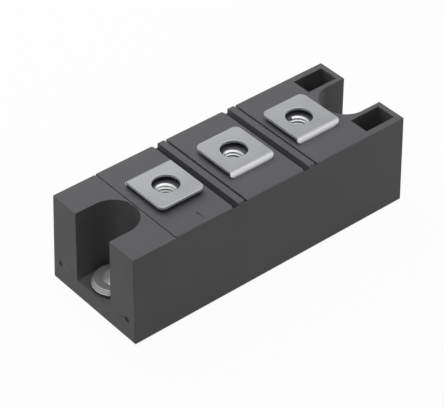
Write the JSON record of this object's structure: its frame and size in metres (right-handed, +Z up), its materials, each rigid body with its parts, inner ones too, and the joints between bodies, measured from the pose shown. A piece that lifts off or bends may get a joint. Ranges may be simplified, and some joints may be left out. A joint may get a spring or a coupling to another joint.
{
  "type": "dual schottky diode module",
  "caption": "Isolated two-rectifier power module: flat metal base, moulded charcoal housing, screw notches in the ends and bent screw terminals in a row on the deck.",
  "frame": {"origin": "centre of the metal underside, on the heatsink plane", "axes": "+X along the length towards the end with the lead pockets, +Y across, +Z up out of the terminals"},
  "size_m": [0.094, 0.035, 0.03],
  "materials": {
    "housing": "fine moulded charcoal plastic, matt",
    "base_metal": "nickel-plated copper plate, fine ground",
    "bushing_metal": "turned and plated steel",
    "terminal_metal": "nickel-plated copper strip, satin",
    "nut_steel": "bright zinc-plated steel",
    "copper": "bare copper, satin",
    "ceramic": "white fired alumina, matt",
    "silicon": "metallised silicon, satin",
    "gel": "clear soft silicone"
  },
  "bodies": {
    "root": {"housing": "housing", "base_plate": "base_metal", "mounting_bushing_left": "bushing_metal", "mounting_bushing_right": "bushing_metal", "terminal_1": "terminal_metal", "terminal_2": "terminal_metal", "terminal_3": "terminal_metal", "terminal_nut_1": "nut_steel", "terminal_nut_2": "nut_steel", "terminal_nut_3": "nut_steel", "tile_copper_left": "copper", "tile_copper_right": "copper", "ceramic_tile_left": "ceramic", "ceramic_tile_right": "ceramic", "copper_island_1": "copper", "copper_island_2": "copper", "copper_island_3": "copper", "schottky_die_1": "silicon", "schottky_die_2": "silicon", "anode_strap_1": "copper", "anode_strap_2": "copper", "potting_gel": "gel"}
  },
  "joints": []
}
